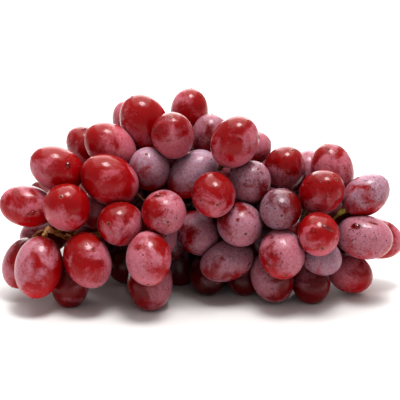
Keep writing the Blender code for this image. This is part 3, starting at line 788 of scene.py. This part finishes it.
def makeStemBark():
    look = stemLook
    material, tree, shader = newMaterial("grapeStem")
    place = addNode(tree, "ShaderNodeTexCoord").outputs["Object"]
    age, inner, cork = [
        addNode(tree, "ShaderNodeAttribute", {"attribute_name": name}).outputs["Fac"]
        for name in ("age", "inner", "cork")
    ]
    patch = addNode(
        tree, "ShaderNodeTexNoise",
        {"Scale": 1 / look["patchSize"], "Detail": 4.0, "Roughness": 0.6},
        {"Vector": place},
    ).outputs["Fac"]
    fibre = addNode(
        tree, "ShaderNodeTexNoise",
        {"Scale": 1 / look["fibreSize"], "Detail": 3.0},
        {"Vector": place},
    ).outputs["Fac"]
    patchy = addNode(
        tree, "ShaderNodeMapRange",
        {"From Min": 0.35, "From Max": 0.65, "To Min": -0.6, "To Max": 0.2},
        {"Value": patch},
    ).outputs["Result"]
    brownness = addNode(
        tree, "ShaderNodeMath", {"operation": "ADD", "use_clamp": True}, {0: age, 1: patchy}
    ).outputs[0]
    bark = addNode(
        tree, "ShaderNodeMix",
        {"data_type": "RGBA", 6: linear(look["green"]), 7: linear(look["brown"])},
        {0: brownness},
    ).outputs[2]
    cracks = addNode(
        tree, "ShaderNodeMapRange",
        {"From Min": 0.5, "From Max": 0.62, "To Max": 0.85},
        {"Value": fibre},
    ).outputs["Result"]
    cells = addNode(
        tree, "ShaderNodeTexVoronoi",
        {"Scale": 1 / look["dotSpacing"]},
        {"Vector": place},
    ).outputs["Distance"]
    dots = addNode(
        tree, "ShaderNodeMapRange",
        {"From Min": 0.3, "From Max": 0.12, "To Max": 0.6},
        {"Value": cells},
    ).outputs["Result"]
    pale = addNode(tree, "ShaderNodeMath", {"operation": "MAXIMUM"}, {0: dots, 1: cork}).outputs[0]
    # the inner share is painted shade deep in the bunch
    for tone, share in (("inner", inner), ("cork", pale), ("crack", cracks)):
        bark = addNode(
            tree, "ShaderNodeMix", {"data_type": "RGBA", 7: linear(look[tone])}, {0: share, 6: bark}
        ).outputs[2]
    bump = addNode(
        tree, "ShaderNodeBump",
        {"Strength": 0.8, "Distance": 0.3 * mm},
        {"Height": fibre},
    ).outputs["Normal"]
    tree.links.new(bark, shader.inputs["Base Color"])
    tree.links.new(bump, shader.inputs["Normal"])
    setSockets(shader, {
        "Roughness": 0.55,
        "Subsurface Weight": 0.1,
        "Subsurface Radius": (0.6, 0.5, 0.2),
        "Subsurface Scale": 1 * mm,
    })
    return material


# One berry of radius 1, its free end at +Z with the dry flower scar, its stem end dimpled. Each copy is
# sized and turned, a little lumpy, and flattened where it presses on others.
berryForm = {
    "segments": 56,
    "rings": 34,
    "scarInset": 0.026,
    "scarHeight": 0.014,
    "dimple": 0.05,
    "dimpleReach": 0.3,
    "lumps": 0.014,
    "lumpWaves": 2.3,
    "lumpSpread": 1.5,
    "lumpShift": 0.4,
    "contactGap": 0.05 * mm,
    "contactRound": 0.18 * mm,
    "contactFrom": -0.2 * mm,     # berries that are this near count as touching
    "contactReach": 32 * mm,
    "floorGap": 0.02 * mm,
    "seed": 21,
}

# What the hidden berries' looks are drawn from, their tone partly painted shade for the bunch's inside,
# and how far the bloom leans to its side of a berry.
hiddenLook = {
    "tone": (0.15, 0.7),
    "tint": (0.1, 0.7),
    "bloom": (0.15, 0.6),
    "specks": (0, 0.6),
}
bloomLean = {"seen": 0.5, "hidden": 0.4}


def makeMasterBerry():
    form = berryForm
    deselectAll()
    bpy.ops.mesh.primitive_uv_sphere_add(segments=form["segments"], ring_count=form["rings"], radius=1)
    master = bpy.context.object
    master.name = "masterBerry"
    capHeight = math.cos(math.pi / form["rings"])

    # the scar: two narrow rings inside the pole's fan, the inner one raised
    pickFaces(master, lambda centre: centre.z > capHeight)
    bpy.ops.mesh.inset(thickness=form["scarInset"])
    bpy.ops.mesh.inset(thickness=form["scarInset"])
    bpy.ops.transform.translate(value=(0, 0, form["scarHeight"]))

    # the stem end: a shallow dimple, drawn in with the faces round it
    pickFaces(master, lambda centre: centre.z < -capHeight)
    bpy.ops.mesh.inset(thickness=form["scarInset"])
    bpy.ops.transform.translate(
        value=(0, 0, form["dimple"]), use_proportional_edit=True,
        proportional_edit_falloff="SMOOTH", proportional_size=form["dimpleReach"],
    )
    bpy.ops.object.mode_set(mode="OBJECT")
    bpy.ops.object.shade_smooth()
    return master


def contactPlanes(bunch, index):
    # the planes between a berry and those that it presses on, each by its normal and distance
    form = berryForm
    offset = bunch.middle - bunch.middle[index]
    planes = []
    for other in range(len(bunch.middle)):
        if other == index or np.linalg.norm(offset[other]) > form["contactReach"]:
            continue
        way = np.linalg.solve(bunch.form[index] + bunch.form[other], offset[other])
        way /= np.linalg.norm(way)
        mine = math.sqrt(way @ bunch.form[index] @ way)
        theirs = math.sqrt(way @ bunch.form[other] @ way)
        overlap = mine + theirs - offset[other] @ way
        if overlap > form["contactFrom"]:
            planes.append((way, mine - overlap / 2 - form["contactGap"] / 2))
    return planes


def shapeBerry(master, bunch, index, draw):
    form = berryForm
    berry = copyOf(master)
    berry.name = f"berry_{index + 1:02d}"
    unit = vertexPlaces(berry)
    phase = [draw.uniform(0, math.tau) for _ in range(3)]
    lump = sum(np.sin(form["lumpWaves"] * unit[:, axis] + phase[axis]) for axis in range(3))
    lump = lump / form["lumpSpread"] - form["lumpShift"]
    local = unit * bunch.half[index] * (1 + form["lumps"] * lump)[:, None]
    points = local @ bunch.turn[index].T
    for way, distance in contactPlanes(bunch, index):
        past = points @ way - distance
        soft = form["contactRound"] * np.logaddexp(0, past / form["contactRound"])
        points -= soft[:, None] * way
    points += bunch.middle[index]
    points[:, 2] = np.maximum(points[:, 2], form["floorGap"])
    moveVertices(berry, points)
    return berry, unit, local


def paintBerry(berry, bunch, index, unit, local, draw):
    # the berry's own look, with painted shade in its tone and the upward share for the painted glow and
    # shade, as values that the skin reads
    right, up, _ = viewAxes()
    if index < len(seenBerries):
        tone, tint, bloom, side, specks = seenBerries[index][7:]
        facing = right * math.cos(math.radians(side)) + up * math.sin(math.radians(side))
        lean = bloomLean["seen"]
    else:
        tone, tint, bloom, specks = [draw.uniform(*limits) for limits in hiddenLook.values()]
        facing = np.array([draw.uniform(-1, 1) for _ in range(3)])
        facing /= np.linalg.norm(facing)
        lean = bloomLean["hidden"]
    outward = unit @ bunch.turn[index].T
    fromTip = np.where(local[:, 2] > 0, np.linalg.norm(local[:, :2], axis=1), 1)
    storeValues(berry, {
        "tone": np.full(len(unit), tone),
        "tint": np.full(len(unit), tint),
        "specks": np.full(len(unit), specks),
        "bloom": bloom + lean * (outward @ facing),
        "fromTip": fromTip,
        "upward": outward[:, 2],
    })


def makeBerries(bunch, skin):
    draw = random.Random(berryForm["seed"])
    master = makeMasterBerry()
    berries = []
    for index in range(len(bunch.middle)):
        berry, unit, local = shapeBerry(master, bunch, index, draw)
        paintBerry(berry, bunch, index, unit, local, draw)
        berry.data.materials.append(skin)
        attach(berry, "root")
        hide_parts("berries")
        berries.append(berry)
    bpy.data.objects.remove(master)
    print("berries:", len(berries))
    return berries


# The stem is grown from the CAD's: its facets rounded over, its joints run together and swollen. Each
# berry gets the receptacle that holds it, with a stub of pedicel, which is short where others crowd it.
stemForm = {
    "voxel": 0.33 * mm,
    "smoothing": 5,
    "fatten": 0.12 * mm,
    "ridges": 0.12 * mm,
    "ridgeSize": 1.1 * mm,
    "knobs": 0.55 * mm,
    "knobSize": 2.6 * mm,
    "thinning": 0.45 * mm,        # off the bare twig, which is slimmer than the CAD's
    "stubSides": 12,
    "stubLength": 4.5 * mm,
    "stubFoot": 1.7 * mm,
    "stubTip": 0.75 * mm,
    "stubSink": 0.7 * mm,
    "stubRoom": 1.0 * mm,
    "stubLeast": 0.35,
    "stubTests": 8,
    "twigEnd": (46, 228, -5),     # the bare pedicel's end, as a pixel and a depth
    "twigReach": 34 * mm,
    "slimPart": 0.6,              # of the twig's reach
    # the stem deep in the bunch is darkened with painted shade
    "innerShadeFrom": 26 * mm,         # past this from the twig's end the stem is in the bunch's dark inside
    "innerShadeReach": 12 * mm,
    "endReach": 3.2 * mm,
    "greenEnd": (342, 210, 4),    # the yellow-green pedicel at the right
    "greenReach": 14 * mm,
}


def makeStubs(bunch):
    form = stemForm
    deselectAll()
    length = form["stubLength"]
    least = form["stubLeast"]
    tests = form["stubTests"]
    bpy.ops.mesh.primitive_cone_add(
        vertices=form["stubSides"], radius1=form["stubFoot"], radius2=form["stubTip"], depth=length,
        location=(0, 0, length / 2),
    )
    master = bpy.context.object
    bpy.ops.object.transform_apply(location=True)
    stubs = []
    for index in range(len(bunch.middle)):
        back = -bunch.turn[index][:, 2]
        foot = bunch.middle[index] + back * (bunch.half[index, 2] - form["stubSink"])
        along = foot + np.linspace(least, 1, tests)[:, None] * length * back
        reach = bunch.clearance(along)[0]
        reach[:, index] = 1
        free = reach.min(1) > form["stubRoom"]
        share = 1 if free.all() else least + (1 - least) * free.argmin() / tests
        stub = copyOf(master)
        points = vertexPlaces(stub) * (1, 1, share)
        moveVertices(stub, points @ turnedTo(back).T + foot)
        stubs.append(stub)
    bpy.data.objects.remove(master)
    return stubs


def makeStem(bunch, bark):
    form = stemForm
    stubs = makeStubs(bunch)
    stem = copyOf(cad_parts["stem"])
    stem.name = "grapeStem"
    pick(stem)
    for stub in stubs:
        stub.select_set(True)
    bpy.ops.object.join()
    bpy.ops.object.mode_set(mode="EDIT")
    bpy.ops.mesh.select_all(action="SELECT")
    bpy.ops.mesh.remove_doubles(threshold=0.001 * mm)
    bpy.ops.object.mode_set(mode="OBJECT")
    remesh = stem.modifiers.new("Fuse", "REMESH")
    remesh.mode = "VOXEL"
    remesh.voxel_size = form["voxel"]
    bpy.ops.object.modifier_apply(modifier="Fuse")
    smooth = stem.modifiers.new("Soften", "SMOOTH")
    smooth.factor = 0.5
    smooth.iterations = form["smoothing"]
    bpy.ops.object.modifier_apply(modifier="Soften")
    points = vertexPlaces(stem)
    normals = np.array([vertex.normal for vertex in stem.data.vertices])
    ridges, knobs = [
        np.array([noise.noise(Vector(point) / size) for point in points])
        for size in (form["ridgeSize"], form["knobSize"])
    ]

    # the bare twig is knobbly, and slim towards its end
    fromEnd = np.linalg.norm(points - cadPoint(*form["twigEnd"]), axis=1)
    twig = np.clip(1.3 - fromEnd / form["twigReach"], 0, 1)
    slim = np.clip(1.2 - fromEnd / (form["slimPart"] * form["twigReach"]), 0, 1)
    grown = form["fatten"] + form["ridges"] * ridges + form["knobs"] * knobs * twig
    grown -= form["thinning"] * slim
    points += normals * grown[:, None]
    moveVertices(stem, points)
    bpy.ops.object.shade_smooth()

    # how old, how deep in the bunch for its painted shade, and how corky, as values that the bark reads
    fromGreen = np.linalg.norm(points - cadPoint(*form["greenEnd"]), axis=1)
    young = np.clip(1.4 - fromGreen / form["greenReach"], 0, 1)
    inner = np.clip((fromEnd - form["innerShadeFrom"]) / form["innerShadeReach"], 0, 1)
    storeValues(stem, {
        "age": np.clip(0.95 - 0.9 * young, 0, 1),
        "inner": inner * (1 - np.clip(2 * young, 0, 1)),
        "cork": 0.9 * np.clip(1.6 - 1.1 * fromEnd / form["endReach"], 0, 1),
    })
    stem.data.materials.clear()
    stem.data.materials.append(bark)
    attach(stem, "root")
    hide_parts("stem")
    print("stem faces:", len(stem.data.polygons))


# Water drops on the skin: the pixel of each one's middle, its width and length in mm, and the turn of
# its long side in the picture, in degrees.
waterDrops = (
    (84, 129, 1.7, 2.8, 60),
    (32, 213, 1.4, 2.0, 20),
    (29, 221, 1.0, 1.6, -10),
    (68, 165, 2.4, 3.2, 75),
    (158, 195, 2.2, 3.4, 8),
    (163, 248, 0.9, 1.3, 80),
    (93, 249, 1.0, 1.5, 60),
    (80, 190, 0.9, 1.6, 60),
    (212, 203, 0.9, 1.5, -5),
    (238, 220, 1.0, 1.3, 40),
    (249, 264, 1.0, 1.4, 70),
    (259, 137, 1.0, 2.0, 60),
    (288, 172, 1.0, 1.3, 30),
    (320, 182, 0.8, 1.1, 0),
    (313, 231, 1.0, 1.6, 60),
    (328, 228, 2.0, 6.0, -22),
    (356, 226, 2.8, 4.2, -25),
    (374, 223, 1.0, 3.0, -20),
)

# Each drop is a low clear dome that hugs the berry, and the wax under it is wet, so it shows red.
dropForm = {
    "segments": 24,
    "rings": 16,
    "domeHeight": 0.75,       # of the half width
    "flatUnder": 0.12,
    "berryRadius": 10.5 * mm,
    "sink": 0.07 * mm,
    "wetRound": 1.15,
    "wetEdge": 1.6,
    "wetDepth": 2 * mm,
    "wetting": 1.2,
    # painted light: the red that the drop takes from the skin under it
    "tint": "#D44A58",
}


def makeWater():
    # see-through and very smooth, so it glints sharply; its red tint is painted light, standing in for
    # the skin's red that the drop gathers
    material, _, shader = newMaterial("clearWater")
    setSockets(shader, {
        "Base Color": linear(dropForm["tint"]),
        "Roughness": 0.03,
        "IOR": 1.33,
        "Specular IOR Level": 0.8,
        "Coat Weight": 0.7,
        "Coat IOR": 1.5,
        "Transmission Weight": 1.0,
    })
    return material


def hitBerry(berries, column, row):
    # the berry, place and normal that the camera meets through a pixel
    eye = bpy.context.scene.camera.location
    way = (Vector(cadPoint(column, row, 0)) - eye).normalized()
    hits = []
    for berry in berries:
        met, place, normal, _ = berry.ray_cast(eye, way)
        if met:
            hits.append(((place - eye).length, berry.name, place, normal))
    _, name, place, normal = min(hits)
    return bpy.data.objects[name], np.array(place), np.array(normal)


def makeDrops(berries, water):
    form = dropForm
    right, up, _ = viewAxes()
    deselectAll()
    bpy.ops.mesh.primitive_uv_sphere_add(segments=form["segments"], ring_count=form["rings"], radius=1)
    master = bpy.context.object
    pickFaces(master, lambda centre: centre.z < 0)
    bpy.ops.transform.resize(value=(1, 1, form["flatUnder"]), center_override=(0, 0, 0))
    bpy.ops.object.mode_set(mode="OBJECT")
    bpy.ops.object.shade_smooth()
    bpy.context.view_layer.update()
    for number, (column, row, width, length, turn) in enumerate(waterDrops, 1):
        berry, place, normal = hitBerry(berries, column, row)
        turn = math.radians(turn)
        along = right * math.cos(turn) + up * math.sin(turn)
        along -= normal * (along @ normal)
        along /= np.linalg.norm(along)
        half = np.array((length / 2, width / 2, form["domeHeight"] * width / 2)) * mm
        across = np.cross(normal, along)
        drop = copyOf(master)
        drop.name = f"waterDrop_{number:02d}"
        points = vertexPlaces(drop) * half
        points[:, 2] -= (points[:, 0] ** 2 + points[:, 1] ** 2) / (2 * form["berryRadius"]) + form["sink"]
        moveVertices(drop, points @ np.array((along, across, normal)) + place)
        drop.data.materials.append(water)
        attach(drop, "root")

        # the bloom is washed off under the drop and just round it
        skin = vertexPlaces(berry) - place
        reach = np.sqrt((skin @ along / half[0]) ** 2 + (skin @ across / half[1]) ** 2)
        near = skin @ normal > -form["wetDepth"]
        wet = np.clip(form["wetEdge"] - reach / form["wetRound"], 0, 1) * near
        layer = berry.data.attributes["bloom"]
        bloom = np.zeros(len(skin), np.float32)
        layer.data.foreach_get("value", bloom)
        layer.data.foreach_set("value", (bloom - form["wetting"] * wet).astype(np.float32))
    bpy.data.objects.remove(master)
    print("water drops:", len(waterDrops))


# Plain pale floor, a ceiling-wide soft light that veils the berries' tops, a smaller one for their
# highlights, a soft panel behind for the bright rims, and a dim white room.
studio = {
    "floor": "#D2D1CF",
    "floorSize": 8,
    "floorRoughness": 0.9,
    "aim": (0, 0, 0.04),
    "room": 0.45,
    "ceilingPlace": (0.0, 0.4, 1.7),
    "ceilingSize": 2.2,
    "ceilingPower": 31,
    "keyPlace": (0.10, -0.12, 1.05),
    "keySize": 0.34,
    "keyPower": 8,
    "panelPlace": (0.0, 1.0, 0.5),
    "panelSize": 0.9,
    "panelPower": 8,
}


def aimAt(thing, target):
    way = Vector(target) - thing.location
    thing.rotation_euler = way.to_track_quat("-Z", "Y").to_euler()


def makeStudio():
    look = studio
    deselectAll()
    bpy.ops.mesh.primitive_plane_add(size=look["floorSize"], location=(0, 0, 0))
    floor = bpy.context.object
    floor.name = "studioFloor"
    material, _, shader = newMaterial("paleFloor")
    setSockets(shader, {
        "Base Color": linear(look["floor"]),
        "Roughness": look["floorRoughness"],
    })
    floor.data.materials.append(material)
    world = bpy.data.worlds.new("paleRoom")
    world.use_nodes = True
    world.node_tree.nodes["Background"].inputs["Color"].default_value = (1, 1, 1, 1)
    world.node_tree.nodes["Background"].inputs["Strength"].default_value = look["room"]
    bpy.context.scene.world = world
    for name in ("ceiling", "key", "panel"):
        bpy.ops.object.light_add(type="AREA", location=look[name + "Place"])
        light = bpy.context.object
        light.name = name + "Light"
        light.data.size = look[name + "Size"]
        light.data.energy = look[name + "Power"]
        aimAt(light, look["aim"])
    bpy.context.scene.view_settings.view_transform = "Standard"
    bpy.context.scene.view_settings.look = "Medium High Contrast"


def makeCamera():
    view = photoView
    target = np.array(view["target"]) + np.array(view["centring"])
    away = viewAxes()[2]
    bpy.ops.object.camera_add(location=target - away * view["distance"])
    camera = bpy.context.object
    camera.name = "photoCamera"
    camera.rotation_euler = (math.pi / 2 - view["elevation"], 0, 0)
    camera.data.sensor_width = view["sensor"]
    camera.data.lens = view["sensor"] * view["distance"] / (2 * view["middle"] * view["pixel"])
    bpy.context.scene.camera = camera


makeCamera()
makeStudio()
print("camera and studio ready")
bunch = layOutBunch()
print("bunch laid out:", len(bunch.middle), "berries")
berries = makeBerries(bunch, makeSkin())
makeStem(bunch, makeStemBark())
makeDrops(berries, makeWater())
